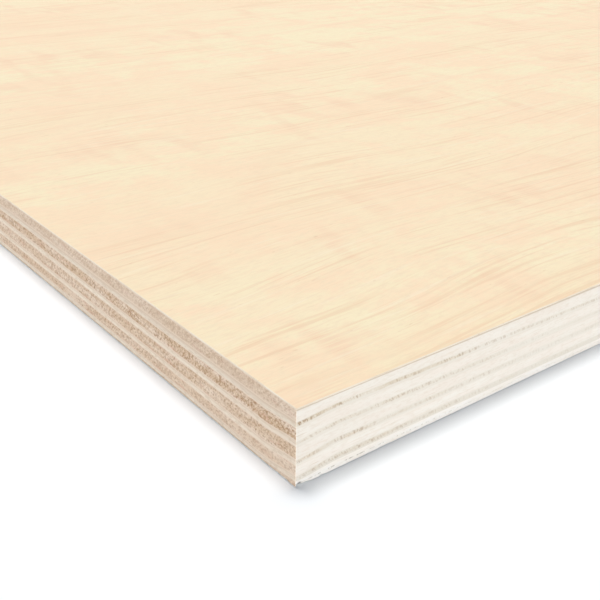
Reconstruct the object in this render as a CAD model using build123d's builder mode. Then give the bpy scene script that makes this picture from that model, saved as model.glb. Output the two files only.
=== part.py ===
from build123d import *
import os

# Sheet of hardwood plywood: nine rotary-cut plies, glued face to face with the grain
# crossed from one ply to the next, then sawn square and sanded. Millimetres.
# X runs along the sheet and along the grain of its two faces, Y across it, Z up.
# The origin is the middle of the underside.

# The sheet as sold
sheet_length = 2440.0
sheet_width = 1220.0

# Thickness of each kind of ply after pressing and sanding
face_thickness = 2.6  # best face, up
back_thickness = 1.7  # sanded down further than the face
crossband_thickness = 1.4  # grain along Y
long_core_thickness = 2.7  # grain along X

# Sanding leaves the rims of both faces slightly eased
face_arris_radius = 0.3
back_arris_radius = 0.25

# Plies between the two faces, from the underside up
inner_plies = [
    ("crossband_4", crossband_thickness),
    ("long_core_2", long_core_thickness),
    ("crossband_3", crossband_thickness),
    ("centre_core", long_core_thickness),
    ("crossband_2", crossband_thickness),
    ("long_core_1", long_core_thickness),
    ("crossband_1", crossband_thickness),
]

os.makedirs("parts", exist_ok=True)

# The back, whose outer face the sheet lies on
with BuildPart() as back_veneer:
    with BuildSketch(Plane.XY):
        Rectangle(sheet_length, sheet_width)
    extrude(amount=back_thickness)
    underside = back_veneer.faces().sort_by(Axis.Z)[0]
    fillet(underside.edges(), radius=back_arris_radius)

back_veneer.part.label = "back_veneer"
export_step(back_veneer.part, "parts/back_veneer.step")

# Each ply starts on the glue line that the one below it ends at
glue_line = back_thickness
for name, thickness in inner_plies:
    with BuildPart() as inner_ply:
        with BuildSketch(Plane.XY.offset(glue_line)):
            Rectangle(sheet_length, sheet_width)
        extrude(amount=thickness)

    inner_ply.part.label = name
    export_step(inner_ply.part, f"parts/{name}.step")
    glue_line += thickness

# The show face closes the lay-up
with BuildPart() as face_veneer:
    with BuildSketch(Plane.XY.offset(glue_line)):
        Rectangle(sheet_length, sheet_width)
    extrude(amount=face_thickness)
    show_face = face_veneer.faces().sort_by(Axis.Z)[-1]
    fillet(show_face.edges(), radius=face_arris_radius)

face_veneer.part.label = "face_veneer"
export_step(face_veneer.part, "parts/face_veneer.step")

sheet_thickness = glue_line + face_thickness
print(f"sheet {sheet_length:g} x {sheet_width:g} x {sheet_thickness:g} mm")
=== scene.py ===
from math import pi, radians, sinh

import bmesh
import bpy
from mathutils import Matrix, Vector, noise


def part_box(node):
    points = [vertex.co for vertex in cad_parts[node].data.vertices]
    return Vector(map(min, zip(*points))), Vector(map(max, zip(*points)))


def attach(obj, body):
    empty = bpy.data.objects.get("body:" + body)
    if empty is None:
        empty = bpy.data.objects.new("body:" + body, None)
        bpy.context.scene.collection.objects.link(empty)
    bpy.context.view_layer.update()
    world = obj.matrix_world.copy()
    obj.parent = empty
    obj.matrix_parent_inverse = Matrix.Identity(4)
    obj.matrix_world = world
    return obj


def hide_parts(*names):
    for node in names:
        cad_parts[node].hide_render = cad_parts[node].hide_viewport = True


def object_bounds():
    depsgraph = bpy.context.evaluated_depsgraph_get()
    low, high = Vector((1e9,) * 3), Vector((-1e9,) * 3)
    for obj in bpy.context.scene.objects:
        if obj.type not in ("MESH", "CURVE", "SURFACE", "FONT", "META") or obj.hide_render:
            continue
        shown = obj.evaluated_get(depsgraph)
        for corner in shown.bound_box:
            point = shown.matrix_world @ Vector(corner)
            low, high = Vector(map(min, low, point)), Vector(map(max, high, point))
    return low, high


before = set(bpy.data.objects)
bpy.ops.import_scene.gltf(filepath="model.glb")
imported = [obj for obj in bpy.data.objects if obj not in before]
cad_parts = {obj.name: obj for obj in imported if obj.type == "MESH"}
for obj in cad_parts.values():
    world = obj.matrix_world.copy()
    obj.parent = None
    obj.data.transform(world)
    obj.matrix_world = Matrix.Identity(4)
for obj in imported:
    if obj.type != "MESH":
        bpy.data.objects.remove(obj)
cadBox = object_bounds()
sheetLow, sheetHigh = Vector(cadBox[0]), Vector(cadBox[1])
sheetSize = sheetHigh - sheetLow
mm = 0.001
sameSpot = 1e-6  # metres, points nearer than this are one

# Camera, calibrated on the photographed corner of the sheet

cameraView = {
    "fromCorner": Vector((-86.99, -111.79, 110.15)) * mm,  # from the near lower corner
    "yaw": 0.6641,  # from +Y towards +X
    "pitch": 0.4569,  # below the level
    "roll": 0.0136,
    "lens": 54.46,  # mm
    "sensor": 36.0,  # mm
    "nearest": 0.005,  # metres
    "furthest": 200.0,
}


def makeCamera(view):
    data = bpy.data.cameras.new("sheetCamera")
    data.sensor_width = view["sensor"]
    data.lens = view["lens"]
    data.clip_start = view["nearest"]
    data.clip_end = view["furthest"]
    camera = bpy.data.objects.new("sheetCamera", data)
    bpy.context.scene.collection.objects.link(camera)
    turn = (
        Matrix.Rotation(-view["yaw"], 4, "Z")
        @ Matrix.Rotation(pi / 2 - view["pitch"], 4, "X")
        @ Matrix.Rotation(view["roll"], 4, "Z")
    )
    camera.matrix_world = Matrix.Translation(sheetLow + view["fromCorner"]) @ turn
    bpy.context.scene.camera = camera


makeCamera(cameraView)
print("camera set")

# Nodes and colours


def srgb(hexColour):
    channels = [int(hexColour[i:i + 2], 16) / 255 for i in (1, 3, 5)]
    linear = [c / 12.92 if c <= 0.04045 else ((c + 0.055) / 1.055) ** 2.4 for c in channels]
    return (*linear, 1.0)


def addNode(tree, kind, inputs=None, **settings):
    node = tree.nodes.new(kind)
    for name, value in settings.items():
        setattr(node, name, value)
    for name, value in (inputs or {}).items():
        if isinstance(value, bpy.types.NodeSocket):
            tree.links.new(value, node.inputs[name])
        else:
            node.inputs[name].default_value = value
    return node


def newMaterial(name):
    material = bpy.data.materials.new(name)
    material.use_nodes = True
    material.node_tree.nodes.clear()
    return material, material.node_tree


# Place on the wood in millimetres, turned so that X follows the grain or the edge
def woodPoint(tree, turn=0.0):
    place = addNode(tree, "ShaderNodeTexCoord")
    return addNode(tree, "ShaderNodeMapping", {
        "Vector": place.outputs["Object"],
        "Rotation": (0, 0, turn),
        "Scale": (1 / mm, 1 / mm, 1 / mm),
    }).outputs["Vector"]


# Makes straight grain wander by up to about half of drift, in millimetres
def waver(tree, point, size, drift):
    laid = addNode(tree, "ShaderNodeMapping", {"Vector": point, "Scale": size}, vector_type="TEXTURE")
    wander = addNode(tree, "ShaderNodeTexNoise", {"Vector": laid.outputs[0], "Scale": 1.0, "Detail": 1.0})
    centred = addNode(tree, "ShaderNodeVectorMath", {
        0: wander.outputs["Color"], 1: (-0.5, -0.5, -0.5),
    }, operation="ADD")
    return addNode(tree, "ShaderNodeVectorMath", {
        0: centred.outputs[0], 1: drift, 2: point,
    }, operation="MULTIPLY_ADD").outputs[0]


# How far apart in the noise one seed's marks lie from the next one's
seedStride = (37.1, 19.7, 53.3)


# Marks of about that size in millimetres, leaning by that angle in the edge's plane
def marks(tree, point, size, seed, detail=2.0, rough=0.55, lean=0.0):
    laid = addNode(tree, "ShaderNodeMapping", {
        "Vector": point,
        "Location": [seed * stride for stride in seedStride],
        "Rotation": (0, lean, 0),
        "Scale": size,
    }, vector_type="TEXTURE")
    return addNode(tree, "ShaderNodeTexNoise", {
        "Vector": laid.outputs[0], "Scale": 1.0, "Detail": detail, "Roughness": rough,
    }).outputs["Fac"]


# 0 to strength as the pattern rises from start to full, less where within is low
def strengthOf(tree, pattern, start, full, strength, within=None):
    mask = addNode(tree, "ShaderNodeMapRange", {
        "Value": pattern, "From Min": start, "From Max": full, "To Max": strength,
    }, interpolation_type="SMOOTHSTEP").outputs[0]
    if within is None:
        return mask
    return addNode(tree, "ShaderNodeMath", {0: mask, 1: within}, operation="MULTIPLY").outputs[0]


def stain(tree, under, mask, tint):
    return addNode(tree, "ShaderNodeMix", {
        "Factor": mask, 6: under, 7: srgb(tint),
    }, data_type="RGBA").outputs[2]


def finishWood(tree, colour, height, look):
    bump = addNode(tree, "ShaderNodeBump", {
        "Height": height, "Strength": look["bump"], "Distance": look["relief"] * mm,
    })
    gloss = addNode(tree, "ShaderNodeMapRange", {
        "Value": height, "To Min": look["roughest"], "To Max": look["smoothest"],
    })
    shader = addNode(tree, "ShaderNodeBsdfPrincipled", {
        "Base Color": colour,
        "Roughness": gloss.outputs[0],
        "Normal": bump.outputs[0],
        "IOR": 1.5,
        "Specular IOR Level": 0.2,
    })
    addNode(tree, "ShaderNodeOutputMaterial", {"Surface": shader.outputs[0]})


# In each wood's dictionary a size is in millimetres along the grain or the edge, across it and
# up, and three numbers say where a mark begins to show, where it is full and how strong it is

# Birch, rotary cut and sanded: cream clouded with peach, thin wandering streaks in loose
# groups and faint bars across the grain where it curls, almost matt
faceLook = {
    "cream": "#F8EBC9",
    "peach": "#FBE1C2",
    "honey": "#FAE0C1",
    "blush": "#F4D5B7",
    "streak": "#E9C3A0",
    "light": "#FCF1DA",
    "grain": "#EEDABC",
    "fleck": "#D3AA84",
    "wanderSize": (150, 55, 60),
    "wander": (0, 22, 0),
    "fanSize": (70, 26, 60),
    "fan": (0, 7, 0),
    "tongueSize": (560, 90, 200),
    "ringCount": 15.0,
    "toneSize": (900, 110, 200),
    "cloudSize": (30, 23, 60),
    "groupSize": (80, 16, 60),
    "streakSize": (46, 1.4, 60),
    "lightStreakSize": (38, 1.6, 60),
    "hairSize": (14, 0.5, 60),
    "curlSize": (11, 36, 60),
    "curledSize": (60, 50, 60),
    "grainSize": (3.6, 1.2, 60),
    "fleckSize": (3.0, 0.9, 60),
    "clouded": (0.41, 0.6, 0.88),
    "toned": (0.46, 0.6, 0.46),
    "ringWide": (0.5, 1.0, 0.24),
    "ringThin": (0.82, 1.0, 0.2),
    "curledPatch": (0.47, 0.63, 1.0),
    "curlBar": (0.48, 0.68, 1.0),
    "curlHair": (0.26, 0.6, 0.72),
    "lightStreaked": (0.56, 0.74, 0.3),
    "grouped": (0.43, 0.58, 1.0),
    "streaked": (0.52, 0.68, 0.39),
    "haired": (0.52, 0.74, 0.17),
    "grained": (0.42, 0.72, 0.46),
    "flecked": (0.81, 0.88, 0.25),
    "bump": 0.25,
    "relief": 0.05,
    "roughest": 0.75,
    "smoothest": 0.65,
}


def rotaryCutBirch(name, look, seed):
    material, tree = newMaterial(name)
    point = waver(tree, woodPoint(tree), look["wanderSize"], look["wander"])
    fanned = waver(tree, point, look["fanSize"], look["fan"])

    # Peeled growth rings come out as long tongues, a few centimetres apart
    tongues = marks(tree, point, look["tongueSize"], seed, detail=1.0)
    counted = addNode(tree, "ShaderNodeMath", {0: tongues, 1: look["ringCount"]}, operation="MULTIPLY")
    ring = addNode(tree, "ShaderNodeMath", {0: counted.outputs[0], 1: 1.0}, operation="PINGPONG").outputs[0]

    tone = marks(tree, point, look["toneSize"], seed + 14)
    cloud = marks(tree, point, look["cloudSize"], seed + 1, detail=7.0, rough=0.72)
    group = marks(tree, point, look["groupSize"], seed + 2, detail=1.0)
    streak = marks(tree, fanned, look["streakSize"], seed + 3)
    lightStreak = marks(tree, point, look["lightStreakSize"], seed + 4)
    hair = marks(tree, point, look["hairSize"], seed + 5, detail=1.0)
    curl = marks(tree, point, look["curlSize"], seed + 6, detail=1.0)
    curled = marks(tree, point, look["curledSize"], seed + 7, detail=1.0)
    grain = marks(tree, point, look["grainSize"], seed + 8, detail=4.0, rough=0.75)
    fleck = marks(tree, point, look["fleckSize"], seed + 9, detail=0.0)

    inCurl = strengthOf(tree, curl, *look["curlBar"], strengthOf(tree, curled, *look["curledPatch"]))
    inGroup = strengthOf(tree, group, *look["grouped"])
    colour = stain(tree, srgb(look["cream"]), strengthOf(tree, cloud, *look["clouded"]), look["peach"])
    colour = stain(tree, colour, strengthOf(tree, tone, *look["toned"]), look["honey"])
    colour = stain(tree, colour, strengthOf(tree, ring, *look["ringWide"]), look["peach"])
    colour = stain(tree, colour, strengthOf(tree, ring, *look["ringThin"]), look["blush"])
    colour = stain(tree, colour, strengthOf(tree, hair, *look["curlHair"], inCurl), look["blush"])
    colour = stain(tree, colour, strengthOf(tree, lightStreak, *look["lightStreaked"]), look["light"])
    colour = stain(tree, colour, strengthOf(tree, streak, *look["streaked"], inGroup), look["streak"])
    colour = stain(tree, colour, strengthOf(tree, hair, *look["haired"]), look["streak"])
    colour = stain(tree, colour, strengthOf(tree, grain, *look["grained"]), look["grain"])
    colour = stain(tree, colour, strengthOf(tree, fleck, *look["flecked"]), look["fleck"])
    finishWood(tree, colour, hair, look)
    return material


# The same birch sawn along its grain: nearly white and smooth, with faint level fibres
longGrainLook = {
    "white": "#F2EDE4",
    "rose": "#F1E9DF",
    "fibre": "#E5DAC9",
    "hairline": "#C9B296",
    # painted shade: the edge is darkened towards the top of the ply, under the ply or rim above
    "paintedShade": "#EAE3D8",
    "score": "#AFA79C",
    "wanderSize": (26, 26, 9),
    "wander": (0, 0, 0.5),
    "patchSize": (15, 60, 2.4),
    "fibreSize": (12, 60, 0.35),
    "hairlineSize": (5, 60, 0.14),
    "dotSize": (0.8, 60, 60),
    "poreSize": (1.5, 60, 0.5),
    "patched": (0.4, 0.6, 0.8),
    "fibred": (0.52, 0.75, 0.4),
    "hairlined": (0.7, 0.84, 0.35),
    "pored": (0.46, 0.66, 0.12),
    "paintedShadeRange": (0.78, 1.0),  # share of the ply's height
    "scoreAt": 0.46,  # share of the ply's height
    "scored": (0.1, 0.03, 0.0),
    "dotted": (0.46, 0.62, 1.0),
    "scoreFades": (15, 55),  # millimetres along the sheet from the near corner
    "scoredFar": 0.3,
    "bump": 0.3,
    "relief": 0.05,
    "roughest": 0.75,
    "smoothest": 0.6,
}

# The show face's edge carries strong painted shade under its rim
faceLongGrain = {
    **longGrainLook,
    "paintedShade": "#C3B29B",
    "paintedShadeRange": (0.74, 0.92),
}

# The low core's edge is painted a little whiter than those above it, to make up for the dimmer light near the
# floor
lowLongGrain = {
    **longGrainLook,
    "white": "#F6F2EA",
    "rose": "#F5EEE5",
    "paintedShade": "#F0EAE0",
}

# Crossbands are peeled from warmer wood, and painted shade darkens them towards the ply above
crossbandLongGrain = {
    **longGrainLook,
    "white": "#F7EBDB",
    "rose": "#F1E2D1",
    "fibre": "#E7D6C3",
    "paintedShade": "#DFCBB6",
    "paintedShadeRange": (0.3, 1.0),
    "pored": (0.46, 0.66, 0.35),
}

# The topmost one is dimmer
topCrossbandLongGrain = {
    **crossbandLongGrain,
    "white": "#F0E4D4",
    "rose": "#EADBCA",
}

# The back ply is the whitest, and painted whiter still to make up for the dimmer light near the floor,
# and the saw's scoring blade left a dotted line halfway up it, clearest near the near corner
backLongGrain = {
    **longGrainLook,
    "white": "#FFFDF9",
    "rose": "#FDF8F0",
    "fibre": "#F3ECE0",
    "paintedShade": "#FDF8F0",
    "scored": (0.1, 0.03, 0.6),
}


def sawnLongGrain(name, look, seed, turn, dark):
    material, tree = newMaterial(name)
    point = waver(tree, woodPoint(tree, turn), look["wanderSize"], look["wander"])
    patch = marks(tree, point, look["patchSize"], seed, detail=3.0)
    fibre = marks(tree, point, look["fibreSize"], seed + 1)
    hairline = marks(tree, point, look["hairlineSize"], seed + 2, detail=0.0)
    dots = marks(tree, point, look["dotSize"], seed + 3)
    pore = marks(tree, point, look["poreSize"], seed + 4)
    across = addNode(tree, "ShaderNodeAttribute", attribute_name="acrossPly").outputs["Fac"]
    overScore = addNode(tree, "ShaderNodeMath", {0: across, 1: look["scoreAt"]}, operation="SUBTRACT")
    offScore = addNode(tree, "ShaderNodeMath", {0: overScore.outputs[0]}, operation="ABSOLUTE").outputs[0]
    nearCorner = addNode(tree, "ShaderNodeMapRange", {
        "Value": addNode(tree, "ShaderNodeSeparateXYZ", {0: point}).outputs["X"],
        "From Min": sheetLow.x / mm + look["scoreFades"][0],
        "From Max": sheetLow.x / mm + look["scoreFades"][1],
        "To Min": 1.0,
        "To Max": look["scoredFar"],
    }).outputs[0]
    dotted = strengthOf(tree, dots, *look["dotted"], nearCorner)

    colour = stain(tree, srgb(look["white"]), strengthOf(tree, patch, *look["patched"]), look["rose"])
    colour = stain(tree, colour, strengthOf(tree, fibre, *look["fibred"]), look["fibre"])
    colour = stain(tree, colour, strengthOf(tree, hairline, *look["hairlined"]), look["hairline"])
    colour = stain(tree, colour, strengthOf(tree, pore, *look["pored"]), look["hairline"])
    # Painted shade, darker towards the top of the ply's edge and stronger on darker plies
    colour = stain(tree, colour, strengthOf(tree, across, *look["paintedShadeRange"], dark), look["paintedShade"])
    colour = stain(tree, colour, strengthOf(tree, offScore, *look["scored"], dotted), look["score"])
    finishWood(tree, colour, fibre, look)
    return material


# Birch sawn across its grain: tan, rough and speckled, with short leaning checks from the
# peeling knife, paler towards the glue lines
endGrainLook = {
    "pale": "#F2E1D0",
    "tan": "#DDC4A9",
    "ruddy": "#D9AD95",
    "speck": "#A7825F",
    "check": "#B28A64",
    "grain": "#FBEAD6",
    "glue": "#F2E2CF",
    "straySize": (5, 60, 60),
    "patchSize": (15, 60, 1.7),
    "blotchSize": (5, 60, 1.3),
    "speckSize": (0.7, 60, 0.6),
    "checkSize": (0.42, 60, 1.8),
    "runSize": (14, 60, 60),  # a row of checks
    "grainSize": (0.55, 60, 0.6),
    "patched": (0.28, 0.6, 1.0),
    "blotched": (0.54, 0.7, 0.45),
    "specked": (0.47, 0.66, 0.75),
    "checked": (0.47, 0.64, 0.55),
    "running": (0.3, 0.54, 1.0),
    "grained": (0.52, 0.7, 0.6),
    "glued": 0.6,
    "glueReach": 0.14,  # millimetres from the glue line
    "bandAt": 0.5,  # the band's middle, as a share of the ply's height
    "band": (0.5, 0.36, 1.0),
    "stray": 0.14,
    "soakFades": (15, 65),  # millimetres from the near corner
    "nearShare": 1.0,
    "farShare": 1.0,
    "bump": 0.55,
    "relief": 0.12,
    "roughest": 0.85,
    "smoothest": 0.7,
}

# The low core is paler by the near corner
lowEndGrain = {
    **endGrainLook,
    "nearShare": 0.65,
}

# Both outer plies are of finer wood, with fainter specks
faceEndGrain = {
    **endGrainLook,
    "pale": "#ECDAC8",
    "tan": "#DDC6AE",
    "ruddy": "#D9B7A4",
    "speck": "#B0906F",
    "check": "#BC9C7C",
    "specked": (0.47, 0.66, 0.5),
    "band": (0.5, 0.3, 1.0),
}

# Glue has soaked into the thin crossbands and left them beige, with a ragged row of short
# dashes in the middle that is strongest near the near corner
crossbandEndGrain = {
    **endGrainLook,
    "pale": "#EDE8DE",
    "tan": "#DCD0BC",
    "ruddy": "#DFCFBA",
    "speck": "#BFA483",
    "check": "#A08160",
    "grain": "#F0EADF",
    "glue": "#E9E2D6",
    "specked": (0.47, 0.66, 0.25),
    "checked": (0.47, 0.64, 0.8),
    "checkSize": (0.5, 60, 1.5),
    "runSize": (11, 60, 60),
    "bandAt": 0.54,
    "band": (0.5, 0.12, 1.0),
    "stray": 0.34,
    "farShare": 0.3,
}


def sawnEndGrain(name, look, seed, turn, plyThickness, dark, lean):
    material, tree = newMaterial(name)
    point = woodPoint(tree, turn)
    across = addNode(tree, "ShaderNodeAttribute", attribute_name="acrossPly").outputs["Fac"]
    wander = marks(tree, point, look["straySize"], seed, detail=4.0, rough=0.75)
    strayed = addNode(tree, "ShaderNodeMath", {
        0: wander, 1: look["stray"], 2: -look["bandAt"] - look["stray"] / 2,
    }, operation="MULTIPLY_ADD").outputs[0]
    fromBand = addNode(tree, "ShaderNodeMath", {0: across, 1: strayed}, operation="ADD").outputs[0]
    offBand = addNode(tree, "ShaderNodeMath", {0: fromBand}, operation="ABSOLUTE").outputs[0]

    # On the ends the turned X runs against the sheet's Y
    corner, onwards = (-sheetLow.y / mm, -1) if turn else (sheetLow.x / mm, 1)
    soaked = addNode(tree, "ShaderNodeMapRange", {
        "Value": addNode(tree, "ShaderNodeSeparateXYZ", {0: point}).outputs["X"],
        "From Min": corner + look["soakFades"][0] * onwards,
        "From Max": corner + look["soakFades"][1] * onwards,
        "To Min": look["nearShare"],
        "To Max": look["farShare"],
    }).outputs[0]
    band = strengthOf(tree, offBand, *look["band"], soaked)

    patch = marks(tree, point, look["patchSize"], seed + 1, detail=3.0)
    run = marks(tree, point, look["runSize"], seed + 2)
    blotch = marks(tree, point, look["blotchSize"], seed + 6)
    speck = marks(tree, point, look["speckSize"], seed + 3, rough=0.65)
    check = marks(tree, point, look["checkSize"], seed + 4, lean=lean)
    grain = marks(tree, point, look["grainSize"], seed + 5, rough=0.65)
    fromMiddle = addNode(tree, "ShaderNodeMath", {0: across, 1: 0.5}, operation="SUBTRACT").outputs[0]
    offMiddle = addNode(tree, "ShaderNodeMath", {0: fromMiddle}, operation="ABSOLUTE").outputs[0]
    glueFrom = 0.5 - look["glueReach"] / plyThickness

    # A darker ply has stronger patches, specks and checks
    patched, specked, checked = (
        (start, full, strength * dark)
        for start, full, strength in (look["patched"], look["specked"], look["checked"])
    )
    running = strengthOf(tree, run, *look["running"], band)
    colour = stain(tree, srgb(look["pale"]), strengthOf(tree, patch, *patched, band), look["tan"])
    colour = stain(tree, colour, strengthOf(tree, blotch, *look["blotched"], band), look["ruddy"])
    colour = stain(tree, colour, strengthOf(tree, speck, *specked, band), look["speck"])
    colour = stain(tree, colour, strengthOf(tree, check, *checked, running), look["check"])
    colour = stain(tree, colour, strengthOf(tree, grain, *look["grained"], band), look["grain"])
    colour = stain(tree, colour, strengthOf(tree, offMiddle, glueFrom, 0.5, look["glued"]), look["glue"])
    finishWood(tree, colour, speck, look)
    return material


# Rim of a face, eased by sanding and a little soiled by handling
arrisLook = {
    "eased": "#EFE4D3",
    "soiled": "#D6C2A8",
    "handledSize": (9, 9, 3),
    "nickSize": (0.8, 0.8, 0.4),
    "handled": (0.4, 0.7, 0.5),
    "nicked": (0.6, 0.75, 0.5),
    "bump": 0.2,
    "relief": 0.04,
    "roughest": 0.7,
    "smoothest": 0.55,
}

# The back's rim is freshly broken, so it is paler, and painted paler still to offset the shade on its
# downward faces
backArris = {
    **arrisLook,
    "eased": "#FFFDF8",
    "soiled": "#EFE8DE",
}


def easedArris(name, look, seed):
    material, tree = newMaterial(name)
    point = woodPoint(tree)
    handled = marks(tree, point, look["handledSize"], seed)
    nick = marks(tree, point, look["nickSize"], seed + 1)
    colour = stain(tree, srgb(look["eased"]), strengthOf(tree, handled, *look["handled"]), look["soiled"])
    colour = stain(tree, colour, strengthOf(tree, nick, *look["nicked"]), look["soiled"])
    finishWood(tree, colour, nick, look)
    return material


# Looks of each slot's edges sawn along and across the grain, and of its rim
plyKinds = {
    "face_veneer": {"along": faceLongGrain, "across": faceEndGrain, "rim": arrisLook},
    "crossband": {"along": crossbandLongGrain, "across": crossbandEndGrain, "rim": arrisLook},
    "long_core": {"along": longGrainLook, "across": endGrainLook, "rim": arrisLook},
    "back_veneer": {"along": backLongGrain, "across": faceEndGrain, "rim": backArris},
}

# Plies, from the show face down: how dark the end grain is and how its checks lean, in radians,
# and the looks of the edges that differ from the slot's
plies = [
    {"node": "face_veneer", "piece": "faceVeneer", "slot": "face_veneer", "dark": 0.8, "lean": 0.9},
    {"node": "crossband_1", "piece": "crossband1", "slot": "crossband", "dark": 1.0, "lean": -0.4,
     "along": topCrossbandLongGrain},
    {"node": "long_core_1", "piece": "longCore1", "slot": "long_core", "dark": 1.0, "lean": 0.8},
    {"node": "crossband_2", "piece": "crossband2", "slot": "crossband", "dark": 0.6, "lean": -0.5},
    {"node": "centre_core", "piece": "centreCore", "slot": "long_core", "dark": 0.83, "lean": 0.7},
    {"node": "crossband_3", "piece": "crossband3", "slot": "crossband", "dark": 0.65, "lean": -0.3},
    {"node": "long_core_2", "piece": "longCore2", "slot": "long_core", "dark": 0.8, "lean": 0.8,
     "along": lowLongGrain, "across": lowEndGrain},
    {"node": "crossband_4", "piece": "crossband4", "slot": "crossband", "dark": 0.5, "lean": -0.5},
    {"node": "back_veneer", "piece": "backVeneer", "slot": "back_veneer", "dark": 0.7, "lean": 0.9},
]
for index, ply in enumerate(plies):
    ply["lines"] = (len(plies) - 1 - index, len(plies) - index)
    ply["heights"] = [corner.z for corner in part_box(ply["node"])]

rim = {
    "cutsAlong": 640,  # points along the long side, closest together at the near corner
    "cutsAcross": 430,
    "crowding": 4.8,  # how strongly they crowd there
    "cornerRadius": 0.2 * mm,
    "insideStrip": 8.0 * mm,  # the glue lines run level from here inwards
    "innerPitch": 60 * mm,  # between the few points further in
    "glueWave": 0.16 * mm,  # height of the short waves
    "waveLength": 34 * mm,
    "glueDrift": 0.22 * mm,  # height of the long ones
    "driftLength": 260 * mm,
    "driftSeed": Vector((5.3, 1.7, 0)),
    "lineStride": 3.7,  # between two lines' waves, in the noise
    # millimetres that an edge's glue lines lie above their levels, from the lowest line up,
    # first by the near corner and then further on
    "frontLift": (
        (0.6, 0.65, 0.55, 0.55, 0.6, 0.6, 0.45, 0.45),
        (0.0, -0.05, -0.2, -0.2, -0.55, -0.55, -0.8, -0.8),
    ),
    "leftLift": (
        (-1.1, -1.75, -1.65, -2.0, -1.1, -1.4, -0.95, -0.9),
        (-1.05, -1.5, -1.45, -1.75, -1.0, -1.35, -0.9, -0.85),
    ),
    "furtherOn": 100 * mm,
    "liftReach": 11 * mm,  # from a corner, where the edges have to agree
    "chip": 0.84 * mm,  # depth where the noise is full
    "chipLength": 2.2 * mm,
    "chipSeed": Vector((0, 0, 9.1)),
    "unchipped": 0.12,  # noise below this leaves the rim whole
    "chippedReach": 55 * mm,
    "leastChipped": 0.12,  # share of the chips further on
    "undercut": 0.3,  # how much deeper a chip bites below the rim, as a share
    "undercutFrom": 0.9,  # of the rim's radius
    "roundReach": 1.2,  # of the rim's radius
    "sharpFrom": 0.5,  # radians between two faces
    "tornCorner": 0.7 * mm,  # chip at the foot of the near corner
    "tornReach": 4.5 * mm,
    "splinter": 0.7 * mm,  # between its splinters
}

easedRims = {
    "face_veneer": {"outward": 1, "radius": 0.2 * mm, "crumble": 0.25},
    "back_veneer": {"outward": -1, "radius": 0.14 * mm, "crumble": 0.7},
}


# Distances to the front, right end, rear and left end
def toSides(co):
    return [co.y - sheetLow.y, sheetHigh.x - co.x, sheetHigh.y - co.y, co.x - sheetLow.x]


# Height of a glue line above its level, the same for the two plies that meet there. It
# wanders only in the sawn edge, and each side of the sheet has its own lift. The two sides
# meet halfway at the near corner
def glueLineLift(line, co):
    sides = toSides(co)
    nearest, nextNearest = sorted(sides)[:2]
    if line in (0, len(plies)) or nearest > rim["cornerRadius"]:
        return 0.0
    place = Vector((co.x, co.y, line * rim["lineStride"]))
    wave = noise.noise(place / rim["waveLength"]) * rim["glueWave"]
    drift = noise.noise(place / rim["driftLength"] + rim["driftSeed"]) * rim["glueDrift"]
    lifted = {0: "frontLift", 3: "leftLift"}.get(sides.index(nearest))
    lift = meeting = 0.0
    if lifted:
        fromNear = max(sides[0], sides[3])
        near, far = (lifts[line - 1] * mm for lifts in rim[lifted])
        lift = near + (far - near) * min(1.0, fromNear / rim["furtherOn"])
        if fromNear < rim["liftReach"]:
            meeting = (rim["frontLift"][0][line - 1] + rim["leftLift"][0][line - 1]) / 2 * mm
    share = min(1.0, nextNearest / rim["liftReach"])
    return wave + drift + meeting + (lift - meeting) * share * share * (3 - 2 * share)


def plySpan(ply, co):
    return [
        height + glueLineLift(line, Vector((co.x, co.y, 0)))
        for height, line in zip(ply["heights"], ply["lines"])
    ]


# Moves an even share of the way along a side towards the near corner
def crowd(share):
    return sinh(rim["crowding"] * share) / sinh(rim["crowding"])


# A unit square whose sides get their points and then move out to the sheet's size
def plyOutline(bm):
    square = bmesh.ops.create_grid(bm, x_segments=1, y_segments=1, size=0.5)["verts"]
    bmesh.ops.delete(bm, geom=bm.faces[:], context="FACES_ONLY")
    bmesh.ops.translate(bm, verts=square, vec=(0.5, 0.5, 0))
    along = [e for e in bm.edges if abs(e.verts[0].co.x - e.verts[1].co.x) > 0.5]
    across = [e for e in bm.edges if e not in along]
    bmesh.ops.subdivide_edges(bm, edges=along, cuts=rim["cutsAlong"])
    bmesh.ops.subdivide_edges(bm, edges=across, cuts=rim["cutsAcross"])
    corners = [v for v in bm.verts if v.co.x in (0, 1) and v.co.y in (0, 1)]
    for v in bm.verts:
        v.co = sheetLow + Vector((sheetSize.x * crowd(v.co.x), sheetSize.y * crowd(v.co.y), 0))
        v.co.z = 0
    bmesh.ops.edgeloop_fill(bm, edges=bm.edges[:])
    bmesh.ops.bevel(
        bm, geom=corners, offset=rim["cornerRadius"], offset_type="OFFSET",
        affect="VERTICES", segments=2, profile=0.5, material=-1,
    )


# Steps the broad face at that end of the slab in from the rim: a narrow strip that may slope
# to a wavy glue line, then a wide one whose inner points are few, then the level middle
def stepInwards(bm, end):
    for inset, pitch in ((rim["insideStrip"], sameSpot), (rim["innerPitch"], rim["innerPitch"])):
        broad = max((f for f in bm.faces if f.verts[0].co.z == end), key=lambda f: len(f.verts))
        middle = bmesh.ops.extrude_face_region(bm, geom=[broad])["geom"]
        bmesh.ops.delete(bm, geom=[broad], context="FACES_ONLY")
        middle = [g for g in middle if isinstance(g, bmesh.types.BMVert)]
        for v in middle:
            for axis in (0, 1):
                place = min(max(v.co[axis] - sheetLow[axis], inset), sheetSize[axis] - inset)
                v.co[axis] = sheetLow[axis] + round(place / pitch) * pitch
        bmesh.ops.remove_doubles(bm, verts=middle, dist=sameSpot)


# Turns a finished bmesh into an object of that name
def addObject(name, bm):
    mesh = bpy.data.meshes.new(name)
    bm.to_mesh(mesh)
    bm.free()
    made = bpy.data.objects.new(name, mesh)
    bpy.context.scene.collection.objects.link(made)
    return made


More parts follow.
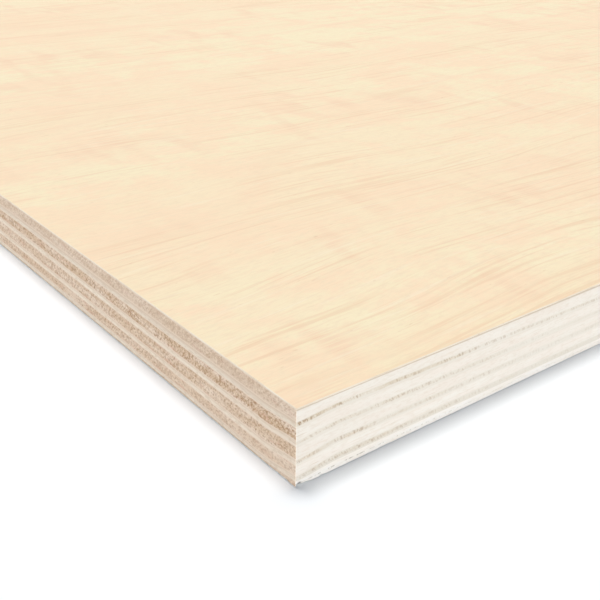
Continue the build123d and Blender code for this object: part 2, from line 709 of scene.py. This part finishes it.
def makePly(ply):
    bm = bmesh.new()
    plyOutline(bm)
    eased = easedRims.get(ply["node"])

    # The outline becomes a slab from 0 to 1, whose height is the share of the way up
    upper = bmesh.ops.extrude_face_region(bm, geom=bm.faces[:])["geom"]
    bmesh.ops.translate(bm, verts=[g for g in upper if isinstance(g, bmesh.types.BMVert)], vec=(0, 0, 1))
    uprights = [e for e in bm.edges if abs(e.verts[0].co.z - e.verts[1].co.z) > 0.5]
    bmesh.ops.subdivide_edges(bm, edges=uprights, cuts=1)
    for end in (0, 1):
        stepInwards(bm, end)

    across = bm.verts.layers.float.new("acrossPly")
    for v in bm.verts:
        bottom, top = plySpan(ply, v.co)
        v[across] = v.co.z
        v.co.z = bottom + v.co.z * (top - bottom)

    if eased:
        easeRim(bm, ply["heights"][eased["outward"] > 0], eased)
    bmesh.ops.recalc_face_normals(bm, faces=bm.faces[:])
    bmesh.ops.triangulate(bm, faces=[f for f in bm.faces if len(f.verts) > 4])

    return addObject(ply["piece"], bm)


# Rounds the rim at that height, and lets it crumble into small chips near the corner
def easeRim(bm, height, eased):
    onRim = [
        e for e in bm.edges
        if all(abs(v.co.z - height) < sameSpot and min(toSides(v.co)) < rim["cornerRadius"] for v in e.verts)
        and len(e.link_faces) == 2 and abs(e.calc_face_angle(0.0)) > rim["sharpFrom"]
    ]
    radius = eased["radius"]
    bmesh.ops.bevel(
        bm, geom=onRim, offset=radius, offset_type="OFFSET",
        affect="EDGES", segments=2, profile=0.5, material=-1,
    )
    reach = radius * rim["roundReach"]
    for v in bm.verts:
        sides, gap = toSides(v.co), abs(v.co.z - height)
        if min(sides) > reach or gap > reach:
            continue
        fromCorner = (v.co.xy - sheetLow.xy).length
        nearness = max(rim["leastChipped"], 1 - fromCorner / rim["chippedReach"]) * eased["crumble"]
        torn = noise.noise(v.co / rim["chipLength"] + rim["chipSeed"]) - rim["unchipped"]
        chip = max(0.0, torn) * nearness * rim["chip"]
        if eased["outward"] < 0 and sides[0] < reach < sides[3]:
            splinter = 1 + noise.noise(v.co / rim["splinter"])
            chip = max(chip, rim["tornCorner"] * (1 - sides[3] / rim["tornReach"]) * splinter)
        inwards = Vector((
            (sides[3] < reach) - (sides[1] < reach),
            (sides[0] < reach) - (sides[2] < reach),
            0,
        ))
        shareIn = min(sides) / radius
        shareUp = gap / radius
        undercut = rim["undercut"] * (shareUp < rim["undercutFrom"])
        v.co += inwards * chip * min(1.0, shareIn + undercut)
        v.co.z -= eased["outward"] * chip * min(1.0, shareUp)


# Least share of a face's normal that points up or down
facing = {
    "broad": 0.97,
    "eased": 0.2,
}


# Material slots of a ply: its broad faces, the two kinds of sawn edge and the eased rims
def dressPly(piece, ply, seed):
    thickness = (ply["heights"][1] - ply["heights"][0]) / mm
    crossed = ply["slot"] == "crossband"
    longTurn, endTurn = (pi / 2, 0.0) if crossed else (0.0, pi / 2)
    looks = {**plyKinds[ply["slot"]], **ply}
    name, dark = ply["piece"], ply["dark"]
    for material in (
        rotaryCutBirch(name + "RotaryCutBirch", faceLook, seed),
        sawnLongGrain(name + "SawnLongGrain", looks["along"], seed + 1, longTurn, dark),
        sawnEndGrain(name + "SawnEndGrain", looks["across"], seed + 2, endTurn, thickness, dark, ply["lean"]),
        easedArris(name + "EasedArris", looks["rim"], seed + 3),
    ):
        piece.data.materials.append(material)
    for polygon in piece.data.polygons:
        n = polygon.normal
        if abs(n.z) > facing["broad"]:
            polygon.material_index = 0
        elif abs(n.z) > facing["eased"]:
            polygon.material_index = 3
        elif (abs(n.y) > abs(n.x)) != crossed:
            polygon.material_index = 1
        else:
            polygon.material_index = 2


# Each ply's own UV map, for baking: the show face or the back fills most of the picture, and
# the sawn edge lies above it, cut into rows
bakeMap = {
    "picture": 1024,  # pixels
    "row": 24,  # pixels
    "gap": 4,  # pixels between rows
    "faceShare": 0.84,  # of the picture's height
    "overhang": 8 * mm,  # of edge, free at each end of a row
    "hiddenPatch": 6,  # pixels, for the faces that are glued
}


# Way round the sheet from the near corner, on the side that the place belongs to
def alongRim(side, co):
    fromLow, fromHigh = co - sheetLow, sheetHigh - co
    return (
        fromLow.x,
        sheetSize.x + fromLow.y,
        sheetSize.x + sheetSize.y + fromHigh.x,
        sheetSize.x * 2 + sheetSize.y + fromHigh.y,
    )[side]


def layBakeMap(piece, ply):
    mesh = piece.data
    uv = mesh.uv_layers.new(name="OFBake").data
    picture, margin, hidden = bakeMap["picture"], bakeMap["overhang"], bakeMap["hiddenPatch"]
    eased = easedRims.get(ply["node"], {"outward": 0, "radius": 0.0})
    outward, arris = eased["outward"], eased["radius"]
    firstRow = bakeMap["faceShare"] if outward else 0.0
    rows = int((1 - firstRow) * picture / bakeMap["row"])
    rowLength = 2 * (sheetSize.x + sheetSize.y) / rows
    for polygon in mesh.polygons:
        places = [(i, mesh.vertices[mesh.loops[i].vertex_index].co) for i in polygon.loop_indices]
        if polygon.material_index == 0:
            shown = polygon.normal.z * outward > 0
            for i, co in places:
                u, v = (co.x - sheetLow.x) / sheetSize.x, (co.y - sheetLow.y) / sheetSize.y
                if shown:
                    uv[i].uv = (u, v * bakeMap["faceShare"])
                else:
                    uv[i].uv = (u * hidden / picture, 1 - v * hidden / picture)
            continue
        sides = toSides(polygon.center)
        side = sides.index(min(sides))
        row = min(rows - 1, int(max(0.0, alongRim(side, polygon.center)) / rowLength))
        for i, co in places:
            bottom, top = plySpan(ply, co)
            up = co.z - bottom + outward * max(0.0, min(toSides(co)))
            share = min(1.0, max(0.0, (up + arris) / (top - bottom + 2 * arris)))
            u = (alongRim(side, co) - row * rowLength + margin) / (rowLength + 2 * margin)
            pixels = row * bakeMap["row"] + bakeMap["gap"] / 2 + share * (bakeMap["row"] - bakeMap["gap"])
            uv[i].uv = (u, firstRow + pixels / picture)


seedStep = 10.0  # between two plies' grain
for index, ply in enumerate(plies):
    piece = makePly(ply)
    dressPly(piece, ply, seedStep * index)
    layBakeMap(piece, ply)
    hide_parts(ply["node"])
    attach(piece, "root")
    print("ply made:", ply["piece"], len(piece.data.polygons), "faces")

# Floor, world and lamps

floorLook = {
    "size": 60.0,
    "drop": 0.1 * mm,
    "bounce": "#ECECEC",  # the paper as the sheet sees it
    "paper": (0.995, 1.005, 1.0, 1.0),  # linear, balances the lift to a pure white
    "coolLift": (0.01, 0.033, 0.071, 1.0),  # linear, added to what is seen
}


# 1 for what the camera sees, also mirrored or through glass
def seenShare(tree):
    path = addNode(tree, "ShaderNodeLightPath")
    seenOrMirrored = addNode(tree, "ShaderNodeMath", {
        0: path.outputs["Is Camera Ray"], 1: path.outputs["Is Glossy Ray"],
    }, operation="MAXIMUM")
    return addNode(tree, "ShaderNodeMath", {
        0: seenOrMirrored.outputs[0], 1: path.outputs["Is Transmission Ray"],
    }, operation="MAXIMUM").outputs[0]


def makeFloor(look):
    bm = bmesh.new()
    bmesh.ops.create_grid(bm, x_segments=1, y_segments=1, size=look["size"] / 2)
    bmesh.ops.translate(bm, verts=bm.verts[:], vec=(0, 0, sheetLow.z - look["drop"]))
    floor = addObject("studioFloor", bm)

    # Seen by the camera the paper is pure white where nothing shades it, and its shade is cool
    material, tree = newMaterial("whitePaperFloor")
    paper = addNode(tree, "ShaderNodeBsdfDiffuse", {"Color": srgb(look["bounce"])})
    seenPaper = addNode(tree, "ShaderNodeBsdfDiffuse", {"Color": look["paper"]})
    lift = addNode(tree, "ShaderNodeEmission", {"Color": look["coolLift"], "Strength": 1.0})
    lifted = addNode(tree, "ShaderNodeAddShader", {0: seenPaper.outputs[0], 1: lift.outputs[0]})
    shown = addNode(tree, "ShaderNodeMixShader", {
        0: seenShare(tree), 1: paper.outputs[0], 2: lifted.outputs[0],
    })
    addNode(tree, "ShaderNodeOutputMaterial", {"Surface": shown.outputs[0]})
    floor.data.materials.append(material)


makeFloor(floorLook)

# Turns are in degrees from +Y towards +X, heights in degrees above the level. The high key
# and a softbox leave a short soft shadow under the near edges, and a low lamp lights the sawn
# edges
light = {
    "sky": 0.2,  # share of the top's light that comes evenly from all round
    "key": {"turn": 13.7, "height": 80.8, "strength": 1.591, "spread": 18.0},
    "softbox": {"turn": 30.3, "height": 64.6, "strength": 0.939, "spread": 42.0},
    "front": {"turn": 214.0, "height": 3.0, "strength": 1.88, "spread": 5.0},
}


def makeSun(name, sun):
    data = bpy.data.lights.new(name, "SUN")
    data.energy = sun["strength"]
    data.angle = radians(sun["spread"])
    lamp = bpy.data.objects.new(name, data)
    bpy.context.scene.collection.objects.link(lamp)
    lamp.matrix_world = (
        Matrix.Rotation(-radians(sun["turn"]), 4, "Z")
        @ Matrix.Rotation(-radians(90 - sun["height"]), 4, "X")
    )


# The sky is white where it is seen, but lights the sheet less
def makeSky(strength):
    world = bpy.data.worlds.new("paleStudio")
    bpy.context.scene.world = world
    world.use_nodes = True
    tree = world.node_tree
    tree.nodes.clear()
    even = addNode(tree, "ShaderNodeBackground", {"Color": (1, 1, 1, 1), "Strength": strength})
    white = addNode(tree, "ShaderNodeBackground", {"Color": (1, 1, 1, 1), "Strength": 1.0})
    mixed = addNode(tree, "ShaderNodeMixShader", {
        0: seenShare(tree), 1: even.outputs[0], 2: white.outputs[0],
    })
    addNode(tree, "ShaderNodeOutputWorld", {"Surface": mixed.outputs[0]})


for name in ("key", "softbox", "front"):
    makeSun(name + "Lamp", light[name])
makeSky(light["sky"])
bpy.context.scene.view_settings.view_transform = "Standard"
print("floor, lamps and world set")
